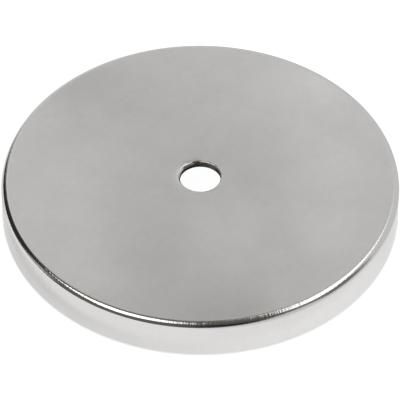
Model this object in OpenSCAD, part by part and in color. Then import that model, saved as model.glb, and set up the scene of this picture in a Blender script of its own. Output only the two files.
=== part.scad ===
// Round cup magnet: a drawn and plated steel cup, lying open side down, with
// a ferrite ring glued inside it and a screw hole in the middle of its back.
// Millimetres. +Z is up, the rim stands on Z = 0 and the origin is on the axis.

/* [Cup] */
// Outside diameter of the cup at its rim
cup_d = 81.3; // [60:0.1:110]
// Height from the rim to the flat back
cup_h = 8.3; // [6:0.1:14]
// Thickness of the sheet that the cup is drawn from
sheet_t = 1.5; // [1:0.1:2.2]
// Outer radius of the bend from the back into the wall
bend_r = 1.3; // [0.6:0.1:3]
// Angle that the drawn wall springs outwards, in degrees
wall_lean = 1.2; // [0:0.1:3]
// Smallest inner radius of that bend, left by the nose of the punch
punch_r = 0.4; // [0.2:0.1:1]
// Chamfer that breaks the inner and outer edges of the rim
rim_chamfer = 0.25; // [0.05:0.05:0.4]

/* [Centre hole] */
// Diameter of the sheared band of the hole
hole_d = 8.3; // [5:0.1:14]
// Radius that the piercing punch pulls down round the top of the hole
rollover_r = 0.4; // [0.1:0.05:0.5]
// Height of the torn band at the underside of the hole
breakout_h = 0.3; // [0.1:0.05:0.4]
// How much wider in radius the torn band ends than the sheared band
breakout_w = 0.1; // [0.02:0.01:0.3]

/* [Ring magnet] */
// Bore of the ring, which leaves room for a nut or a screw head
bore_d = 32; // [24:0.5:44]
// Gap between the ring and the wall of the cup
wall_gap = 4.0; // [2:0.1:6]
// How far the ring's face lies inside the plane of the rim
face_recess = 0.3; // [0.1:0.05:1]
// Chamfer on the four edges of the ring
ring_chamfer = 0.4; // [0.1:0.1:1]

/* [Adhesive] */
// Thickness of the adhesive between the ring and the back
glue_t = 0.2; // [0.1:0.05:0.5]
// Radius of the bead squeezed out at the edges of the ring
bead_r = 0.9; // [0.6:0.1:1.6]

/* [Hidden] */

// Colours of the plated steel, the ferrite and the adhesive
plate_colour = [0.79, 0.78, 0.76];
ferrite_colour = [0.19, 0.19, 0.20];
glue_colour = [0.60, 0.50, 0.32];

// Sides of a full turn, and of the small arcs in the profiles
turn_sides = 180;
arc_sides = 32;
// How far a cutting shape runs past the surface that it cuts
past = 0.2;

cup_r = cup_d / 2;
hole_r = hole_d / 2;
// The sheet keeps its thickness round the bend where the punch allows it
inner_bend_r = max(punch_r, bend_r - sheet_t);
// Height of the underside of the back, where the adhesive starts
seat_z = cup_h - sheet_t;

// Radius of the leaning wall at a height z: outside, at a depth behind its
// outer face that is measured square to the wall, and inside
function wall_x(z) = cup_r - z * tan(wall_lean);
function behind_wall_x(z, deep) = wall_x(z) - deep / cos(wall_lean);
function wall_inner_x(z) = behind_wall_x(z, sheet_t);

ring_r = wall_inner_x(seat_z) - wall_gap;
bore_r = bore_d / 2;
ring_top = seat_z - glue_t;

// What a round of radius r takes off a corner, between a face that looks
// to +Y and one that looks to +X and leans back by an angle. The centre of
// the round is at the origin.
module corner_waste(r, lean = 0) {
    reach = r + past;
    difference() {
        polygon([
            [0, 0],
            [reach * cos(lean), reach * sin(lean)],
            [reach, reach],
            [0, reach]
        ]);
        circle(r = r, $fn = arc_sides);
    }
}

// Sheet of the cup in section, with no hole: back and wall at their full
// thickness, the bend round outside and inside, and both rim edges broken.
// The rounds of the bend touch the leaning wall and the back.
module sheet_section() {
    bend_z = cup_h - bend_r;
    inner_bend_z = seat_z - inner_bend_r;
    difference() {
        polygon([
            [0, 0],
            [cup_r - rim_chamfer, 0],
            [wall_x(rim_chamfer), rim_chamfer],
            [wall_x(cup_h), cup_h],
            [0, cup_h]
        ]);
        polygon([
            [-past, -past],
            [wall_inner_x(0) + rim_chamfer + past, -past],
            [wall_inner_x(rim_chamfer), rim_chamfer],
            [wall_inner_x(seat_z), seat_z],
            [-past, seat_z]
        ]);
        translate([behind_wall_x(bend_z, bend_r), bend_z])
            corner_waste(bend_r, wall_lean);
    }
    translate([behind_wall_x(inner_bend_z, sheet_t + inner_bend_r), inner_bend_z])
        corner_waste(inner_bend_r, wall_lean);
}

// What the piercing punch takes out of the back, in section: a rounded
// mouth, a straight sheared band, and a torn band that opens downwards
module hole_section() {
    translate([-past, seat_z - past])
        square([hole_r + past, sheet_t + 2 * past]);
    translate([hole_r + rollover_r, cup_h - rollover_r])
        mirror([1, 0])
            corner_waste(rollover_r);
    polygon([
        [0, seat_z + breakout_h],
        [hole_r, seat_z + breakout_h],
        [hole_r + breakout_w, seat_z],
        [hole_r + breakout_w, seat_z - past],
        [0, seat_z - past]
    ]);
}

// Ferrite ring in section, with its four edges chamfered
module ring_section() {
    polygon([
        [bore_r + ring_chamfer, face_recess],
        [ring_r - ring_chamfer, face_recess],
        [ring_r, face_recess + ring_chamfer],
        [ring_r, ring_top - ring_chamfer],
        [ring_r - ring_chamfer, ring_top],
        [bore_r + ring_chamfer, ring_top],
        [bore_r, ring_top - ring_chamfer],
        [bore_r, face_recess + ring_chamfer]
    ]);
}

// Adhesive in section: the layer between ring and back, and a round bead
// against the ring at its outside and in its bore
module glue_section() {
    difference() {
        union() {
            translate([bore_r, ring_top - ring_chamfer])
                square([ring_r - bore_r, glue_t + ring_chamfer]);
            intersection() {
                union() {
                    translate([bore_r, seat_z])
                        circle(r = bead_r, $fn = arc_sides);
                    translate([ring_r, seat_z])
                        circle(r = bead_r, $fn = arc_sides);
                }
                translate([bore_r - bead_r - past, seat_z - bead_r - past])
                    square([ring_r - bore_r + 2 * bead_r + 2 * past, bead_r + past]);
            }
        }
        ring_section();
    }
}

module cup() {
    color(plate_colour)
        rotate_extrude($fn = turn_sides)
            difference() {
                sheet_section();
                hole_section();
            }
}

module ring_magnet() {
    color(ferrite_colour)
        rotate_extrude($fn = turn_sides)
            ring_section();
}

module epoxy_bond() {
    color(glue_colour)
        rotate_extrude($fn = turn_sides)
            glue_section();
}

cup();
ring_magnet();
epoxy_bond();
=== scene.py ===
# Round cup magnet: a drawn and plated steel cup with a screw hole, lying
# open side down, and the ferrite ring that is glued inside it.
import math

import bpy
import numpy as np
from mathutils import Matrix, Vector


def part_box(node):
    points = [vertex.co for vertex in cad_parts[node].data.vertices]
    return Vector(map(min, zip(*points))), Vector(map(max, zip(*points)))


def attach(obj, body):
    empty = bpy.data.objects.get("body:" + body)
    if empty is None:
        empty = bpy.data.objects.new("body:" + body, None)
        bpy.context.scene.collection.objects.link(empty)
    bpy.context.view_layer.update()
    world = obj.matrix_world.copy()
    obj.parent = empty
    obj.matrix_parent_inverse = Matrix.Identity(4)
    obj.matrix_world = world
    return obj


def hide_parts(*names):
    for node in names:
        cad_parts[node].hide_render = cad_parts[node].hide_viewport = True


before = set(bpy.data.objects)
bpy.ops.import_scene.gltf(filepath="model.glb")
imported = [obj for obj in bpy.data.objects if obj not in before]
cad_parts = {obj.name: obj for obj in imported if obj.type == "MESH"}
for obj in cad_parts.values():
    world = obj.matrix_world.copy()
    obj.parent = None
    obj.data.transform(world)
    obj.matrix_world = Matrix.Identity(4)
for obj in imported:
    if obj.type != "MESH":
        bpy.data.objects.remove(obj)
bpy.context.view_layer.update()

bl_info = {
    "name": "Disc magnet",
    "version": (1, 0, 0),
    "blender": (4, 5, 0),
    "location": "3D View > Sidebar > Magnet",
    "description": "Makes a plated cup magnet, its ferrite ring, its adhesive and a pale stage",
    "category": "Add Mesh",
}

MM = 0.001

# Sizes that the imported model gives
CUP_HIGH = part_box("cup")[1]
RING_LOW, RING_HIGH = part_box("ring_magnet")
BOND_LOW, BOND_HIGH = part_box("epoxy_bond")

# Chamfer of the rim in millimetres and lean of the wall, which together give
# the radius of the wall carried down to the floor
RIM_CHAMFER = 0.25
LEAN = math.radians(1.2)


# Settings

def length(name, description, millimetres, low, high):
    """A length property with its default and limits given in millimetres."""
    return bpy.props.FloatProperty(
        name=name, description=description, default=millimetres * MM,
        min=low * MM, max=high * MM, unit="LENGTH", subtype="DISTANCE", precision=5)


def colour(name, description, red, green, blue):
    """A colour property."""
    return bpy.props.FloatVectorProperty(
        name=name, description=description, default=(red, green, blue),
        min=0, max=1, size=3, subtype="COLOR")


def share(name, description, default, high=1.0):
    """A property that runs from 0 to a highest value."""
    return bpy.props.FloatProperty(
        name=name, description=description, default=default, min=0, max=high, subtype="FACTOR")


class MagnetSizes(bpy.types.PropertyGroup):
    """Sizes of the cup, the ring and the adhesive."""

    rim_chamfer: length("Rim chamfer", "Chamfer that breaks the edges of the rim", RIM_CHAMFER, 0.05, 0.4)
    cup_radius: length("Cup radius", "Outer radius of the wall carried down to the floor",
                       CUP_HIGH.x / MM + RIM_CHAMFER * math.tan(LEAN), 30, 60)
    cup_height: length("Cup height", "Height from the rim to the flat back", CUP_HIGH.z / MM, 6, 14)
    sheet: length("Sheet", "Thickness of the sheet", 1.5, 1, 2.2)
    bend: length("Bend", "Outer radius of the bend from the back into the wall", 1.3, 0.6, 3)
    inner_bend: length("Inner bend", "Inner radius of that bend", 0.4, 0.2, 2)
    lean: bpy.props.FloatProperty(
        name="Lean", description="Angle that the wall springs outwards", default=LEAN,
        min=0, max=math.radians(3), unit="ROTATION", subtype="ANGLE")
    hole_radius: length("Hole radius", "Radius of the sheared band of the hole", 4.15, 2.5, 7)
    rollover: length("Rollover", "Radius pulled down round the top of the hole", 0.4, 0.1, 0.5)
    tear_height: length("Torn band", "Height of the torn band of the hole", 0.3, 0.1, 0.4)
    tear_width: length("Torn width", "How much wider the torn band ends", 0.1, 0.02, 0.3)
    bore_radius: length("Bore radius", "Radius of the ring's bore", 16, 12, 22)
    ring_radius: length("Ring radius", "Outer radius of the ring", RING_HIGH.x / MM, 25, 50)
    ring_chamfer: length("Ring chamfer", "Chamfer on the edges of the ring", 0.4, 0.1, 1)
    bead: length("Bead", "Radius of the adhesive squeezed out at the ring's edges", 0.9, 0.6, 1.6)


class MagnetFinish(bpy.types.PropertyGroup):
    """Colours and gloss of the three finishes."""

    plate: colour("Plating", "Colour that the plating reflects", 0.72, 0.714, 0.702)
    face_gloss: share("Face roughness", "Roughness of the satin back", 0.30)
    wall_gloss: share("Wall roughness", "Roughness of the ironed wall and bend", 0.09)
    # The cloudiness also scales the patches of painted reflection and shade on the back
    cloud: share("Cloudiness", "Strength of the cloudy patches on the back", 1.0, 2.0)
    ferrite: colour("Ferrite", "Colour of the pressed ferrite", 0.040, 0.041, 0.045)
    ground: colour("Ground face", "Colour of the ground face of the ring", 0.085, 0.086, 0.09)
    resin: colour("Adhesive", "Colour of the cured adhesive", 0.34, 0.235, 0.10)


class MagnetStage(bpy.types.PropertyGroup):
    """Floor and camera."""

    floor_radius: bpy.props.FloatProperty(
        name="Floor radius", description="Radius of the pale floor", default=4.0, min=0.5, max=20,
        unit="LENGTH", subtype="DISTANCE")
    elevation: bpy.props.FloatProperty(
        name="Elevation", description="Height of the camera as an angle above the floor",
        default=math.radians(45.673), min=0, max=math.radians(89), unit="ROTATION", subtype="ANGLE")
    distance: length("Distance", "Distance of the camera from its target", 495.647, 200, 2000)
    roll: bpy.props.FloatProperty(
        name="Roll", description="Turn of the camera about its own axis", default=0.0055,
        min=-0.2, max=0.2, unit="ROTATION", subtype="ANGLE")
    lens: bpy.props.FloatProperty(
        name="Lens", description="Focal length for a sensor 36 millimetres wide", default=216.08,
        min=20, max=500, unit="CAMERA")


# Surfaces

def rounded_loop(corners, guard):
    """Closed outline as an array of points, one row each.

    Each corner is a point, a radius, the number of steps of its arc, and the
    number of equal steps of the straight that follows. The arc touches both
    straights at radius / tan(half the corner's angle) from the corner, and its
    centre lies on the bisector at radius / sin(half that angle). A point lies
    at the guard distance from each end of a straight, which keeps the shading
    of the flat free of the arc.
    """
    points = np.array([c[0] for c in corners], float)
    back = np.roll(points, 1, axis=0) - points
    ahead = np.roll(points, -1, axis=0) - points
    back /= np.linalg.norm(back, axis=1, keepdims=True)
    ahead /= np.linalg.norm(ahead, axis=1, keepdims=True)
    half = 0.5 * np.arccos(np.clip((back * ahead).sum(1), -1, 1))
    radius = np.array([c[1] for c in corners])
    reach = radius / np.tan(half)
    start = points + back * reach[:, None]
    end = points + ahead * reach[:, None]
    bisector = back + ahead
    bisector /= np.linalg.norm(bisector, axis=1, keepdims=True)
    centre = points + bisector * (radius / np.sin(half))[:, None]
    rows = []
    for k, (_, _, arc_steps, straight_steps) in enumerate(corners):
        first = math.atan2(*(start[k] - centre[k])[::-1])
        last = math.atan2(*(end[k] - centre[k])[::-1])
        sweep = (last - first + math.pi) % (2 * math.pi) - math.pi
        angle = first + sweep * np.linspace(0, 1, arc_steps + 1)
        rows.append(centre[k] + radius[k] * np.stack([np.cos(angle), np.sin(angle)], 1))
        run = start[(k + 1) % len(corners)] - end[k]
        if run @ ahead[k] <= 0:
            raise ValueError(f"The arcs at the ends of straight {k} of the outline overlap")
        margin = guard / np.linalg.norm(run)
        between_ends = np.linspace(0, 1, straight_steps + 1)[1:-1]
        along = np.concatenate([[margin], between_ends, [1 - margin]])
        rows.append(end[k] + run * along[:, None])
    return np.concatenate(rows)


def turned(name, outline, turns, offset=None):
    """Mesh of an outline in radius and height carried once round the Z axis.

    Point (k, j) lies at the outline's point j, moved along the outline's left
    normal by offset(angle, radius, height), and turned by 2 pi k / turns. The
    grid closes on itself both ways, and its outside is the left of the outline.
    """
    along = np.roll(outline, -1, axis=0) - np.roll(outline, 1, axis=0)
    along /= np.linalg.norm(along, axis=1, keepdims=True)
    angle = (np.arange(turns) * 2 * np.pi / turns)[:, None]
    radius = np.repeat(outline[None, :, 0], turns, axis=0)
    height = np.repeat(outline[None, :, 1], turns, axis=0)
    if offset is not None:
        moved = offset(angle, radius, height)
        radius, height = radius - moved * along[:, 1], height + moved * along[:, 0]
    grid = np.stack([radius * np.cos(angle), radius * np.sin(angle), height], -1)
    count = len(outline)
    here = np.arange(turns)[:, None] * count + np.arange(count)[None, :]
    up = np.roll(here, -1, axis=1)
    quads = np.stack([here, up, np.roll(up, -1, axis=0), np.roll(here, -1, axis=0)], -1)
    return smooth_mesh(name, grid.reshape(-1, 3), quads.reshape(-1, 4))


def smooth_mesh(name, points, quads):
    """Object at the origin whose smooth mesh has these points and quads."""
    mesh = bpy.data.meshes.new(name)
    mesh.vertices.add(len(points))
    mesh.vertices.foreach_set("co", points.astype(np.float32).ravel())
    mesh.loops.add(quads.size)
    mesh.loops.foreach_set("vertex_index", quads.astype(np.int32).ravel())
    mesh.polygons.add(len(quads))
    mesh.polygons.foreach_set("loop_start", np.arange(0, quads.size, 4, dtype=np.int32))
    mesh.polygons.foreach_set("use_smooth", np.ones(len(quads), bool))
    mesh.update(calc_edges=True)
    mesh.validate()
    piece = bpy.data.objects.new(name, mesh)
    bpy.context.scene.collection.objects.link(piece)
    return piece


def waves(angle, seed, lowest, highest, fall=0.5):
    """Sum of sines round the axis, about 1 high: one for each whole number of
    waves from lowest to highest, with a seeded phase and height, and heights
    that fall with the number of waves to the given power."""
    draw = np.random.default_rng(seed)
    number = np.arange(lowest, highest + 1)
    height = draw.normal(size=number.size) / number ** fall
    phase = draw.uniform(0, 2 * np.pi, number.size)
    total = (height * np.sin(angle[..., None] * number + phase)).sum(-1)
    return total / np.sqrt((height ** 2).sum() / 2)


def bump_shape(x):
    """Smooth hump: cosine squared between -1 and 1, and 0 beyond."""
    return np.where(np.abs(x) < 1, np.cos(np.pi / 2 * np.clip(x, -1, 1)) ** 2, 0.0)


# Shader nodes

class Wire:
    """Output socket of a node, for use in Python expressions. Each operator
    adds the Math node that works it out, with numbers or wires on either side."""

    def __init__(self, graph, socket):
        self.graph = graph
        self.socket = socket

    def math(self, operation, *values):
        """Math node with values or wires in its sockets."""
        return self.graph.node("Math", {"operation": operation}, dict(enumerate(values)))

    def __add__(self, other):
        return self.math("ADD", self, other)

    def __radd__(self, other):
        return self.math("ADD", other, self)

    def __sub__(self, other):
        return self.math("SUBTRACT", self, other)

    def __rsub__(self, other):
        return self.math("SUBTRACT", other, self)

    def __mul__(self, other):
        return self.math("MULTIPLY", self, other)

    def __rmul__(self, other):
        return self.math("MULTIPLY", other, self)

    def __truediv__(self, other):
        return self.math("DIVIDE", self, other)

    def __abs__(self):
        return self.math("ABSOLUTE", self)


class Graph:
    """Nodes of one material or world."""

    def __init__(self, owner):
        owner.use_nodes = True
        self.tree = owner.node_tree
        self.tree.nodes.clear()

    def node(self, kind, settings=None, sockets=None, output=0):
        """Adds a node of a kind, such as Math or TexNoise, makes its settings
        first, then sets or links its sockets by name, identifier or number,
        and gives one output as a wire."""
        made = self.tree.nodes.new("ShaderNode" + kind)
        for key, value in (settings or {}).items():
            setattr(made, key, value)
        for key, value in (sockets or {}).items():
            socket = self.find(made.inputs, key)
            if isinstance(value, Wire):
                self.tree.links.new(value.socket, socket)
            else:
                socket.default_value = value
        return Wire(self, self.find(made.outputs, output)) if made.outputs else None

    @staticmethod
    def find(sockets, key):
        """Socket with a number, a name or an identifier."""
        if isinstance(key, int):
            return sockets[key]
        return next(s for s in sockets if key in (s.identifier, s.name))

    def smooth(self, value, low, high, to_low=0.0, to_high=1.0):
        """Smooth step of a value between two places."""
        return self.node("MapRange", {"interpolation_type": "SMOOTHSTEP"}, {
            "Value": value, "From Min": low, "From Max": high, "To Min": to_low, "To Max": to_high})

    def fade(self, value, low, high, end=0.0):
        """Smooth step from 1 at the first place down to an end value."""
        return self.smooth(value, low, high, 1.0, end)

    def place(self):
        """Object coordinates."""
        return self.node("TexCoord", output="Object")

    def scaled(self, vector, scale, location=(0, 0, 0), rotation=(0, 0, 0)):
        """A vector through a Mapping node."""
        return self.node("Mapping", None, {
            "Vector": vector, "Location": location, "Rotation": rotation, "Scale": scale})

    def vector(self, operation, first, second=(0, 0, 0), output=0):
        """Vector Math node on one or two vectors."""
        return self.node("VectorMath", {"operation": operation}, {0: first, 1: second}, output)

    def dot(self, first, second):
        """Dot product of two vectors."""
        return self.vector("DOT_PRODUCT", first, second, "Value")

    def noise(self, vector, scale, detail=2.0, roughness=0.5, distortion=0.0):
        """Noise with a given number of cells to the metre, from 0 to 1."""
        return self.node("TexNoise", None, {
            "Vector": vector, "Scale": scale, "Detail": detail, "Roughness": roughness,
            "Distortion": distortion}, "Fac")

    def mix(self, factor, first, second):
        """Colours mixed by a factor."""
        return self.node("Mix", {"data_type": "RGBA"}, {
            "Factor_Float": factor, "A_Color": first, "B_Color": second}, "Result_Color")

    def patches(self, rows):
        """Sum of soft round patches: each row has a middle in X and Y and a
        reach, in millimetres, and an amount that falls to 0 at the reach."""
        total = 0.0
        flat = self.vector("MULTIPLY", self.place(), (1, 1, 0))
        for x, y, reach, amount in rows:
            away = self.vector("DISTANCE", flat, (x * MM, y * MM, 0), "Value")
            total = total + self.smooth(away, 0.0, reach * MM, amount, 0.0)
        return total

    def bump(self, height):
        """Normal tilted by a height in metres."""
        return self.node("Bump", None, {"Height": height, "Strength": 1.0, "Distance": 1.0})

    def surface(self, settings):
        """Principled shader on the material's output."""
        shader = self.node("BsdfPrincipled", None, settings)
        self.node("OutputMaterial", None, {"Surface": shader})


def rgb(shade, level=1.0):
    """Four numbers of a colour, made lighter or darker by a level."""
    return (*(min(1.0, part * level) for part in shade), 1.0)


def between(first, second, share_of_second):
    """Value or wire that runs from the first to the second as a share from 0
    to 1 grows."""
    return first + (second - first) * share_of_second


# Finishes

# Paler or darker patches on the back, painted reflection and shade for the
# uneven light that the satin back reflects: middle in X and Y, reach in
# millimetres, and amount. The first six rows are the output of a least squares
# fit to the brightness of the back in the photo. The next three were set by
# hand, and so were the reaches and amounts of the last ten, whose middles
# mostly follow a program's list of where the render and the photo differed.
# This breaks the rule on tables: see report.md.
SHEEN_AND_SHADE_PATCHES = [
    (1, -35, 30, -0.08), (-9, 18, 37, -0.08), (10, 1, 18, -0.08),
    (-12, -13, 16, -0.08), (22, 3, 16, 0.06), (-33, -13, 41, 0.08),
    (-24, -24, 26, 0.035), (26, 21, 24, 0.035), (-22, 22, 22, -0.03),
    (25, 31, 15, 0.12), (27, -14, 12, 0.08), (-26, 29, 14, -0.10),
    (-11, -21, 13, -0.08), (6, -38, 13, -0.10), (17, -16, 8, -0.05),
    (40, -8, 20, -0.06), (-9, -2, 11, -0.05), (4, -17, 14, 0.05),
    (31, 1, 9, 0.05),
]
# Lift of the whole back, which the patches on the whole make darker
PATCH_LEVEL = 0.07
# Noise over the back: cells to the metre of the wide, middling and fine clouds
# and of the grain, and how much each cloud changes the tone
CLOUD_CELLS = (38, 150, 900)
CLOUD_SHARES = (0.13, 0.13, 0.11)
GRAIN_CELLS = 5200
# How far the tone may lie from the plate's own colour
TONE_RANGE = 0.3
# Bare steel where the punch sheared the hole
SCALE_STAIN = (0.78, 0.71, 0.60)
# Roughness inside the cup, on the lip of the hole and on the hole's wall
INSIDE_GLOSS, LIP_GLOSS, SHEAR_GLOSS = 0.38, 0.10, 0.30
# Height of the orange peel and grain of the back, the ripple of the bend and
# wall, and the marks in the hole
PEEL, GRAIN, RIPPLE, SHEAR = 0.003 * MM, 0.0005 * MM, 0.036 * MM, 0.014 * MM
# How much the plating reflects where it is seen at a low angle
EDGE_TINT = (0.86, 0.86, 0.86, 1)


def back_clouds(graph, place):
    """Clouds of the satin back, about 0: wide, middling and fine noise."""
    wide, middling, fine = CLOUD_CELLS
    aside = graph.scaled(place, (1, 1, 1), (0.31, 0.17, 0))
    layers = (graph.noise(place, scale=wide, detail=2, roughness=0.55, distortion=0.6),
              graph.noise(aside, scale=middling, detail=3, roughness=0.6),
              graph.noise(place, scale=fine, detail=3, roughness=0.65))
    return sum((layer - 0.5) * part for layer, part in zip(layers, CLOUD_SHARES))


def hole_band(graph, x, smear, teeth):
    """Colour of the sheared band of the hole, with a painted highlight that makes it paler right of the
    middle.
    """
    marks = graph.smooth(smear * 0.6 + teeth * 0.4, 0.36, 0.62)
    band = graph.mix(marks, rgb(SCALE_STAIN, 0.16), rgb(SCALE_STAIN, 0.62))
    # Painted highlight: the band paler right of the middle
    right_highlight = graph.smooth(x, 0.8 * MM, 1.9 * MM) * graph.fade(x, 2.6 * MM, 3.4 * MM, 0.2)
    return graph.mix(right_highlight * 0.3, band, rgb(SCALE_STAIN))


def plated_steel(sizes, finish):
    """Bright plating: satin and cloudy on the back, ironed glossy on the bend
    and the wall, dull inside the cup, with sheared marks in the hole."""
    material = bpy.data.materials.new("plated_steel")
    graph = Graph(material)
    place = graph.place()
    x, y, z = (graph.node("SeparateXYZ", None, {0: place}, axis) for axis in "XYZ")
    radius = graph.vector("LENGTH", graph.node("CombineXYZ", None, {"X": x, "Y": y}), output="Value")
    east, north = x / radius, y / radius

    def spokes(rise):
        """Direction from the axis, with the height times a rise: noise on it
        makes streaks up the wall, the longer the smaller the rise is."""
        return graph.node("CombineXYZ", None, {"X": east, "Y": north, "Z": z * rise})

    # Where each finish lies, from 0 to 1
    top, seat, hole = sizes.cup_height, sizes.cup_height - sizes.sheet, sizes.hole_radius
    bend_start, inner_wall = sizes.cup_radius - sizes.bend, sizes.cup_radius - sizes.sheet
    outside = graph.smooth(radius, bend_start - 0.5 * MM, bend_start + 0.25 * MM)
    inside = (graph.fade(z, seat + 0.1 * MM, seat + 0.3 * MM)
              * graph.fade(radius, inner_wall - 0.4 * MM, inner_wall + 0.6 * MM))
    ragged = (graph.noise(spokes(0.0), scale=3.2, detail=3, roughness=0.6) - 0.5) * (0.7 * MM)
    hole_wall = (graph.fade(z + ragged, top - 0.42 * MM, top - 0.25 * MM)
                 * graph.fade(radius, hole + 0.3 * MM, hole + 0.4 * MM))
    # Torn band at the bottom of the hole, painted near black as painted shadow: higher on the left,
    # fainter on the right
    torn_shadow_rise = graph.smooth(x, -3.0 * MM, 1.5 * MM, 0.35 * MM, -0.10 * MM)
    torn = hole_wall * graph.fade(z - torn_shadow_rise, seat + 0.25 * MM, seat + 0.42 * MM)
    torn = torn * graph.fade(x, 1.0 * MM, 2.0 * MM, 0.3)
    lip = graph.fade(radius, hole + 0.35 * MM, hole + 0.5 * MM)
    lip_end = graph.fade(x, 2.5 * MM, 3.6 * MM)

    cloud = back_clouds(graph, place)
    grain = graph.noise(place, scale=GRAIN_CELLS, detail=2, roughness=0.6)
    # Random clouds plus the patches of painted reflection and shade
    cloud_and_painted_sheen = (cloud + graph.patches(SHEEN_AND_SHADE_PATCHES)) * finish.cloud
    tone = graph.mix(0.5 + (cloud_and_painted_sheen + PATCH_LEVEL) / (2 * TONE_RANGE),
                     rgb(finish.plate, 1 - TONE_RANGE), rgb(finish.plate, 1 + TONE_RANGE))
    streak = graph.noise(spokes(3.0), scale=95, detail=3, roughness=0.65)
    drifting = graph.scaled(place, (1, 1, 1.6), (0.07, 0.23, 0.11))
    drift = graph.noise(drifting, scale=130, detail=3, roughness=0.6)
    wall_tone = graph.mix(streak * 0.4 + drift * 0.6, rgb(finish.plate, 0.93), rgb(finish.plate, 1.07))
    shade = graph.mix(outside, tone, wall_tone)

    # Sheared band of the hole, and ragged patches of its colour over the lip right
    # of the middle: partly the punch's smear, partly painted shade that dims the
    # lip's glint there
    teeth = graph.noise(spokes(30.0), scale=34, detail=3, roughness=0.7)
    smear = graph.noise(place, scale=620, detail=3, roughness=0.7)
    band = hole_band(graph, x, smear, teeth)
    # Painted shade over the lip right of the middle, in ragged patches
    lip_smear_and_shade = lip * graph.smooth(x, -0.5 * MM, 1.5 * MM) * graph.fade(smear, 0.46, 0.56) * lip_end
    shade = graph.mix(lip_smear_and_shade * 0.75, shade, band)
    shade = graph.mix(hole_wall, shade, band)
    # Painted shadow: the torn band near black
    shade = graph.mix(torn, shade, rgb(finish.plate, 0.03))

    satin = (finish.face_gloss + cloud * 0.15) + (grain - 0.5) * 0.02
    glossy = finish.wall_gloss + (streak - 0.5) * 0.05
    rough = between(satin, glossy, outside)
    rough = between(rough, INSIDE_GLOSS, inside)
    rough = between(rough, LIP_GLOSS, lip * (1.0 - hole_wall) * lip_end)
    rough = between(rough, SHEAR_GLOSS, hole_wall)

    orange_peel = graph.noise(place, scale=700, detail=2, roughness=0.5)
    peel = (orange_peel - 0.5) * PEEL + (grain - 0.5) * GRAIN
    height = between(peel, (streak - 0.5) * RIPPLE, outside)
    height = between(height, (teeth - 0.5) * SHEAR, hole_wall)
    graph.surface({"Base Color": shade, "Metallic": 1.0, "Roughness": rough,
                   "Normal": graph.bump(height), "Specular Tint": EDGE_TINT})
    return material


# Height of the grinding marks and the pressed grain, and depth of the pits
GRIND, PRESSED, PIT = 0.006 * MM, 0.02 * MM, 0.05 * MM


def ferrite_finish(finish):
    """Ceramic magnet: a paler ground face with straight grinding marks and small
    pits painted darker as painted shade, and darker pressed sides."""
    material = bpy.data.materials.new("ferrite")
    graph = Graph(material)
    place = graph.place()
    z = graph.node("SeparateXYZ", None, {0: place}, "Z")
    ground = graph.fade(z, RING_LOW.z + 0.02 * MM, RING_LOW.z + 0.10 * MM)
    ground_way = graph.scaled(place, (0.05, 1, 1), rotation=(0, 0, 0.6))
    marks = graph.noise(ground_way, scale=2600, detail=4, roughness=0.7)
    mottle = graph.noise(place, scale=90, detail=3, roughness=0.6)
    speck = graph.noise(place, scale=2400, detail=3, roughness=0.7)
    aside = graph.scaled(place, (1, 1, 1), (0.2, 0.1, 0))
    pits = graph.smooth(graph.noise(aside, scale=1100, detail=2, roughness=0.5), 0.68, 0.74)
    face = graph.mix(graph.smooth(marks * 0.6 + mottle * 0.4, 0.3, 0.7),
                     rgb(finish.ground, 0.78), rgb(finish.ground, 1.25))
    side = graph.mix(graph.smooth(speck * 0.5 + mottle * 0.5, 0.3, 0.7),
                     rgb(finish.ferrite, 0.7), rgb(finish.ferrite, 1.4))
    shade = graph.mix(ground, side, face)
    # Painted shade in the pits
    shade = graph.mix(pits, shade, rgb(finish.ferrite, 0.45))
    rough = 0.62 + (speck - 0.5) * 0.2 - ground * 0.2 + (marks - 0.5) * 0.12
    height = ((marks - 0.5) * GRIND * ground + (speck - 0.5) * PRESSED) - pits * PIT
    graph.surface({"Base Color": shade, "Roughness": rough, "Specular IOR Level": 0.6,
                   "Normal": graph.bump(height)})
    return material


# Height of the waves of the adhesive's skin and of its bubbles
SKIN, BUBBLE = 0.06 * MM, 0.03 * MM


def resin_finish(finish):
    """Cured amber adhesive with small bubbles and a glossy skin."""
    material = bpy.data.materials.new("adhesive")
    graph = Graph(material)
    place = graph.place()
    cloud = graph.noise(place, scale=160, detail=3, roughness=0.6)
    cells = graph.node("TexVoronoi", {"feature": "F1"}, {
        "Vector": place, "Scale": 1300, "Randomness": 1.0}, "Distance")
    bubbles = graph.fade(cells, 0.10, 0.22)
    shade = graph.mix(cloud, rgb(finish.resin, 0.65), rgb(finish.resin, 1.35))
    shade = graph.mix(bubbles * 0.5, shade, rgb(finish.resin, 1.7))
    rough = 0.22 + (cloud - 0.5) * 0.2
    skin = graph.noise(place, scale=420, detail=2, roughness=0.5)
    height = (skin - 0.5) * SKIN + bubbles * BUBBLE
    graph.surface({"Base Color": shade, "Roughness": rough, "Coat Weight": 0.3,
                   "Normal": graph.bump(height)})
    return material


# Pieces

# Steps round the axis of the cup, and of the ring and the adhesive
CUP_TURNS, RING_TURNS = 590, 600
# Sides of the hole where its lip is pulled down deepest, and where it is sharp
DEEP_SIDE, SHARP_SIDE = math.radians(158), math.radians(8)


def wall_radius(sizes, height):
    """Outer radius of the leaning wall at a height: radius at the floor less
    the height times the tangent of the lean."""
    return sizes.cup_radius - height * math.tan(sizes.lean)


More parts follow.
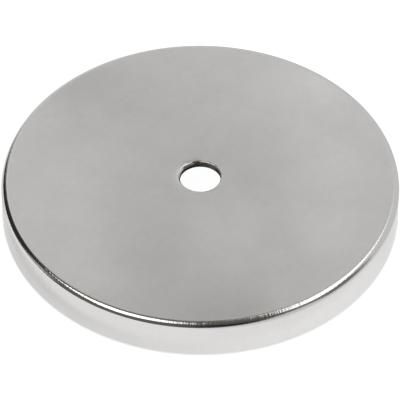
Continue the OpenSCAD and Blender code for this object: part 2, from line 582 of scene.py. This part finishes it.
def cup_outline(sizes):
    """Section of the cup, clockwise seen with the axis on its left."""
    seat = sizes.cup_height - sizes.sheet
    top = sizes.cup_height
    edge = sizes.rim_chamfer
    behind = sizes.sheet / math.cos(sizes.lean)

    def outer(height):
        return wall_radius(sizes, height)

    def inner(height):
        return wall_radius(sizes, height) - behind

    nick = 0.05 * MM
    return rounded_loop([
        ((sizes.hole_radius + sizes.tear_width, seat), nick, 3, 2),
        ((sizes.hole_radius, seat + sizes.tear_height), nick, 3, 5),
        ((sizes.hole_radius, top), sizes.rollover, 14, 30),
        ((outer(top), top), sizes.bend, 34, 12),
        ((outer(edge), edge), nick, 3, 2),
        ((sizes.cup_radius - edge, 0.0), nick, 3, 3),
        ((inner(0.0) + edge, 0.0), nick, 3, 2),
        ((inner(edge), edge), nick, 3, 6),
        ((inner(seat), seat), sizes.inner_bend, 8, 10),
    ], 0.04 * MM)


def dress(piece, node, material):
    """Gives a piece its material, hangs it under the root body and hides the CAD node that it stands for.
    """
    piece.data.materials.append(material)
    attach(piece, "root")
    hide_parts(node)


class MAGNET_OT_cup_shell(bpy.types.Operator):
    """Makes the drawn and plated cup with its pierced hole"""

    bl_idname = "magnet.cup_shell"
    bl_label = "Cup shell"

    def execute(self, context):
        sizes = context.scene.magnet_sizes

        def offset(angle, radius, height):
            """Uneven pull of the piercing punch at the top of the hole, deeper
            on one side and filled out sharper on the other, and a slow
            unevenness of the bend left by the drawing die. Each is a hump
            round a corner of the section times a function of the angle."""
            from_hole, from_top = radius - sizes.hole_radius, height - sizes.cup_height
            lip = bump_shape(np.hypot(from_hole - 0.1 * MM, from_top + 0.1 * MM) / (0.5 * MM))
            deeper = (0.5 + 0.5 * np.cos(angle - DEEP_SIDE)) ** 4
            pull = (0.15 * deeper - 0.01) * MM
            pull = pull + 0.012 * MM * waves(angle, seed=3, lowest=3, highest=26, fall=0.3)
            filled = bump_shape(np.hypot(from_hole, from_top) / sizes.rollover)
            sharper = (0.5 + 0.5 * np.cos(angle - SHARP_SIDE)) ** 6
            bend = bump_shape((radius - sizes.cup_radius + 0.6 * MM) / (0.9 * MM))
            bend = bend * (height > sizes.cup_height - 1.6 * MM)
            die_marks = 0.004 * MM * waves(angle, seed=5, lowest=3, highest=60, fall=0.4)
            return -lip * pull + filled * sharper * 0.13 * MM + bend * die_marks

        piece = turned("cup_shell", cup_outline(sizes), CUP_TURNS, offset)
        dress(piece, "cup", plated_steel(sizes, context.scene.magnet_finish))
        return {"FINISHED"}


class MAGNET_OT_ferrite_ring(bpy.types.Operator):
    """Makes the ferrite ring with its broken edges"""

    bl_idname = "magnet.ferrite_ring"
    bl_label = "Ferrite ring"

    def execute(self, context):
        sizes = context.scene.magnet_sizes
        low, high, edge = RING_LOW.z, RING_HIGH.z, sizes.ring_chamfer
        bore, outside = sizes.bore_radius, sizes.ring_radius
        nick = 0.08 * MM
        outline = rounded_loop([
            ((bore + edge, high), nick, 2, 10),
            ((outside - edge, high), nick, 2, 2),
            ((outside, high - edge), nick, 2, 8),
            ((outside, low + edge), nick, 3, 5),
            ((outside - edge, low), nick, 3, 22),
            ((bore + edge, low), nick, 3, 5),
            ((bore, low + edge), nick, 3, 8),
            ((bore, high - edge), nick, 2, 2),
        ], 0.05 * MM)
        draw = np.random.default_rng(11)
        chips = [(draw.uniform(0, 2 * np.pi), draw.uniform(0.5, 1.7) * MM,
                  draw.uniform(0.08, 0.4) * MM, side)
                 for side in (bore, outside) for _ in range(9)]

        def offset(angle, radius, height):
            """Slow unevenness of the pressed sides, and seeded chips broken
            out of the lower edges: a hump round the axis times a hump across."""
            sides = 0.02 * MM * waves(angle, seed=8, lowest=2, highest=40, fall=0.6)
            sides = sides * np.clip((height - low) / MM, 0, 1)
            broken = 0.0
            for centre, width, depth, side in chips:
                away = (angle - centre + np.pi) % (2 * np.pi) - np.pi
                across = np.hypot(radius - side, height - low) / (1.1 * width)
                broken = broken + depth * bump_shape(away * side / width) * bump_shape(across)
            return sides - broken

        piece = turned("ferrite_ring", outline, RING_TURNS, offset)
        dress(piece, "ring_magnet", ferrite_finish(context.scene.magnet_finish))
        return {"FINISHED"}


class MAGNET_OT_adhesive_bead(bpy.types.Operator):
    """Makes the adhesive layer and the bead squeezed out at its edges"""

    bl_idname = "magnet.adhesive_bead"
    bl_label = "Adhesive bead"

    def execute(self, context):
        sizes = context.scene.magnet_sizes
        low, layer, high = BOND_LOW.z, RING_HIGH.z, BOND_HIGH.z
        bore, outside, bead = sizes.bore_radius, sizes.ring_radius, sizes.bead
        nick = 0.06 * MM
        outline = rounded_loop([
            ((bore - bead, high), nick, 3, 10),
            ((outside + bead, high), nick, 3, 2),
            ((outside + 0.75 * bead, high - 0.66 * bead), 0.55 * bead, 8, 2),
            ((outside, low), nick, 3, 3),
            ((outside, layer), nick, 2, 10),
            ((bore, layer), nick, 2, 3),
            ((bore, low), nick, 3, 2),
            ((bore - 0.75 * bead, high - 0.66 * bead), 0.55 * bead, 8, 2),
        ], 0.03 * MM)

        def offset(angle, radius, height):
            """Bead that swells and thins round the axis."""
            inside = radius < 0.5 * (bore + outside)
            spill = np.where(inside, bore - radius, radius - outside) > 0.12 * bead
            uneven = np.where(inside, waves(angle, seed=21, lowest=3, highest=46),
                              waves(angle, seed=22, lowest=4, highest=60))
            return spill * (height < high - 0.02 * MM) * np.clip(uneven * 0.10, -0.28, 0.05) * MM

        piece = turned("adhesive_bead", outline, RING_TURNS, offset)
        dress(piece, "epoxy_bond", resin_finish(context.scene.magnet_finish))
        return {"FINISHED"}


# Stage

# Studio cards round the magnet, each painted over those before it: azimuth
# and elevation of the middle, half width, half height, soft edge and turn in
# degrees, and brightness, where 1 is white. The left box was worked out. The
# other rows are the output of a least squares fit to the reflections in the
# photo, rounded afterwards. This breaks the rule on tables: see report.md.
CARDS = [
    ("back sheet", 58, 22.2, 64, 32.3, 2.7, -3, 0.70),
    ("front shade", 241.6, 26, 60.6, 32.5, 2, 14, 0.13),
    ("right shade", -13, 18, 16, 34, 7.5, 1, 0.19),
    ("left flag", 148, 16, 24, 38.5, 17, -18, 0.03),
    ("left slit", 181, 13, 5.2, 21.5, 4.7, 7, 0.50),
    ("left box", 203, 66.7, 18, 14.5, 2.5, -23, 2.40),
    ("right box", 16.5, 60.6, 27, 10.6, 5.4, 9, 1.74),
    ("back glow", 95, 40, 17, 2, 4, 4, 0.70),
    ("front middle", 284, 31.7, 14.5, 15, 10.5, -14, 0.01),
    ("front gap", 298, 53.5, 12, 16, 7.7, 8, 0.09),
    ("left glow", 106.5, 46, 7.5, 9, 5.5, -12, 0.74),
]
# Brightness low and high up, and the heights of a unit vector between which
# the one passes into the other, changed from what the same fit gave
HORIZON, CEILING = 0.82, 0.13
HORIZON_BAND = (-0.10, 0.70)
# Tint of the light, and how much redder and less blue it is where it is dark
LIGHT_TINT = (1.0, 0.998, 0.994)
WARM_RED, WARM_BLUE = 0.05, 0.10


def bearing(azimuth, elevation):
    """Unit vector at an azimuth, counted from +X to +Y, and an elevation."""
    a, e = math.radians(azimuth), math.radians(elevation)
    return (math.cos(e) * math.cos(a), math.cos(e) * math.sin(a), math.sin(e))


def card_mask(graph, view, azimuth, elevation, half_width, half_height, soft, turn):
    """Soft-edged rectangle on the sky: with c the direction of its middle and
    u along one side, inside is where |d.u| < tan(half) * d.c."""
    middle = Vector(bearing(azimuth, elevation))
    level = Vector(bearing(azimuth + 90, 0))
    across = Matrix.Rotation(math.radians(turn), 3, middle) @ level
    depth = graph.dot(view, middle)
    mask = 1.0
    for side, half in ((across, half_width), (middle.cross(across), half_height)):
        inset = depth * math.tan(math.radians(half)) - abs(graph.dot(view, side))
        mask = mask * graph.smooth(inset, -math.radians(soft) / 2, math.radians(soft) / 2)
    return mask


def light_world():
    """World painted with soft studio cards, and white where the camera looks."""
    world = bpy.data.worlds.new("studio")
    bpy.context.scene.world = world
    graph = Graph(world)
    view = graph.vector("NORMALIZE", graph.node("TexCoord", output="Generated"))
    height = graph.node("SeparateXYZ", None, {0: view}, "Z")
    level = graph.smooth(height, *HORIZON_BAND, HORIZON, CEILING)
    for _, *shape, brightness in CARDS:
        level = between(level, brightness, card_mask(graph, view, *shape))
    warm = graph.fade(level, 0.05, 0.7)
    red, green, blue = LIGHT_TINT
    tinted = graph.node("CombineColor", None, {
        "Red": level * (red + warm * WARM_RED), "Green": level * green,
        "Blue": level * (blue - warm * WARM_BLUE)})
    light = graph.node("Background", None, {"Color": tinted})
    white = graph.node("Background", None, {"Color": (1, 1, 1, 1)})
    ray = graph.node("LightPath", output="Is Camera Ray")
    seen = graph.node("MixShader", None, {"Fac": ray, 1: light, 2: white})
    graph.node("OutputWorld", None, {"Surface": seen})


# Height of the floor: just under the rim, so that the rim shows from below
FLOOR_HEIGHT = -0.05 * MM
# What the floor shows in the plating, where 1 is white, with painted shade in
# it: close to the cup from left to right, darker on the left, further out, how
# much less far out on the right, how much less in an arc along the left of the
# rim, in soft patches, and under the hole, where it stands for the shadow in
# the cup
FLOOR_CLOSE = (0.79, 0.95)
FLOOR_APART, FLOOR_FALL, FLOOR_ARC = 0.88, 0.28, 0.08
FLOOR_SHADES = [(46, 2, 24, -0.16), (-46, 8, 15, -0.35), (-92, 50, 50, -0.25)]
UNDER_HOLE = 0.10
# What it shows to the camera, how much darker a painted contact shadow makes
# it under the edge of the rim, and what it shows to any other ray
FLOOR_SEEN, CONTACT_SHADE, FLOOR_GLOW = 0.97, 0.25, 0.62


def floor_finish():
    """Pale floor: white to the camera but for a painted contact shadow under the
    edge of the rim, and in reflections pale with painted shade close to the cup,
    far out on the right, in patches and under the hole; with a share of plain
    lit white that keeps the object's shadow. It can't be seen from below."""
    material = bpy.data.materials.new("floor")
    graph = Graph(material)
    camera_ray, glossy_ray, through_ray = (
        graph.node("LightPath", output=name)
        for name in ("Is Camera Ray", "Is Glossy Ray", "Is Transmission Ray"))
    x = graph.node("SeparateXYZ", None, {0: graph.place()}, "X")
    away = graph.vector("LENGTH", graph.place(), output="Value")
    from_rim = away - CUP_HIGH.x
    close = graph.smooth(x, -34 * MM, 34 * MM, *FLOOR_CLOSE)
    fall = graph.smooth(away, 43 * MM, 58 * MM) * graph.smooth(x, -10 * MM, 30 * MM)
    apart = FLOOR_APART - FLOOR_FALL * fall
    arc = graph.fade(abs(from_rim - 2.5 * MM), 0.0, 1.6 * MM) * graph.fade(x, -34 * MM, -14 * MM)
    # Painted shade in what the plating reflects of the floor
    mirrored_with_shade = between(close, apart, graph.smooth(away, 42.8 * MM, 45.2 * MM)) - FLOOR_ARC * arc
    mirrored_with_shade = mirrored_with_shade + graph.patches(FLOOR_SHADES)
    mirrored_with_shade = between(UNDER_HOLE, mirrored_with_shade, graph.smooth(away, 12 * MM, 17 * MM))
    # Painted contact shadow on the floor under the edge of the rim
    contact_shadow = graph.fade(abs(from_rim + 0.1 * MM), 0.12 * MM, 0.28 * MM)
    looked_at = camera_ray + through_ray
    other = 1.0 - looked_at - glossy_ray
    shown = looked_at * (FLOOR_SEEN - CONTACT_SHADE * contact_shadow) + glossy_ray * mirrored_with_shade + other * FLOOR_GLOW
    glow = graph.node("Emission", None, {"Color": (1, 1, 1, 1), "Strength": shown})
    lit = graph.node("BsdfDiffuse", None, {"Color": (0.2, 0.2, 0.2, 1)})
    above = graph.node("AddShader", None, {0: glow, 1: lit})
    below = graph.node("BsdfTransparent", None, {"Color": (1, 1, 1, 1)})
    back = graph.node("NewGeometry", output="Backfacing")
    both = graph.node("MixShader", None, {"Fac": back, 1: above, 2: below})
    graph.node("OutputMaterial", None, {"Surface": both})
    material.cycles.emission_sampling = "NONE"
    return material


# Point on the floor plane that the camera looks at
TARGET = Vector((-0.0575, 1.3884, 0)) * MM


class MAGNET_OT_stage(bpy.types.Operator):
    """Makes the floor, the studio light and the camera"""

    bl_idname = "magnet.stage"
    bl_label = "Stage"

    def execute(self, context):
        scene = context.scene
        stage = scene.magnet_stage
        steps = 9
        line = stage.floor_radius * np.linspace(-1, 1, steps)
        grid = np.stack(np.broadcast_arrays(line[:, None], line[None, :], FLOOR_HEIGHT), -1)
        here = np.arange(steps - 1)[:, None] * steps + np.arange(steps - 1)[None, :]
        quads = np.stack([here, here + steps, here + steps + 1, here + 1], -1).reshape(-1, 4)
        floor = smooth_mesh("floor", grid.reshape(-1, 3), quads)
        floor.data.materials.append(floor_finish())
        light_world()

        data = bpy.data.cameras.new("camera")
        camera = bpy.data.objects.new("camera", data)
        scene.collection.objects.link(camera)
        data.sensor_width = 36
        data.lens = stage.lens
        data.clip_start, data.clip_end = 0.01, 50
        tilt, roll = stage.elevation, stage.roll
        right, up = Vector((1, 0, 0)), Vector((0, math.sin(tilt), math.cos(tilt)))
        back = Vector((0, -math.cos(tilt), math.sin(tilt)))
        across = right * math.cos(roll) + up * math.sin(roll)
        upright = up * math.cos(roll) - right * math.sin(roll)
        turn = Matrix((across, upright, back)).transposed().to_4x4()
        camera.matrix_world = Matrix.Translation(TARGET + back * stage.distance) @ turn
        scene.camera = camera
        scene.view_settings.view_transform = "Standard"
        return {"FINISHED"}


class MAGNET_PT_panel(bpy.types.Panel):
    """Sizes, finishes and pieces of the magnet"""

    bl_label = "Disc magnet"
    bl_space_type = "VIEW_3D"
    bl_region_type = "UI"
    bl_category = "Magnet"

    def draw(self, context):
        for title, group in (("Sizes", context.scene.magnet_sizes),
                             ("Finish", context.scene.magnet_finish),
                             ("Stage", context.scene.magnet_stage)):
            box = self.layout.box()
            box.label(text=title)
            for name in group.__annotations__:
                box.prop(group, name)
        for step in STEPS:
            self.layout.operator(step.bl_idname)


GROUPS = {"magnet_sizes": MagnetSizes, "magnet_finish": MagnetFinish, "magnet_stage": MagnetStage}
STEPS = (MAGNET_OT_cup_shell, MAGNET_OT_ferrite_ring, MAGNET_OT_adhesive_bead, MAGNET_OT_stage)
CLASSES = (*GROUPS.values(), *STEPS, MAGNET_PT_panel)


def register():
    """Adds the classes, and the settings to each scene."""
    for each in CLASSES:
        bpy.utils.register_class(each)
    for name, group in GROUPS.items():
        setattr(bpy.types.Scene, name, bpy.props.PointerProperty(type=group))


def unregister():
    """Takes the settings and the classes out again."""
    for name in GROUPS:
        delattr(bpy.types.Scene, name)
    for each in reversed(CLASSES):
        bpy.utils.unregister_class(each)


def main():
    """Makes the magnet and its stage."""
    register()
    bpy.ops.magnet.cup_shell()
    bpy.ops.magnet.ferrite_ring()
    bpy.ops.magnet.adhesive_bead()
    bpy.ops.magnet.stage()


if __name__ == "__main__":
    main()
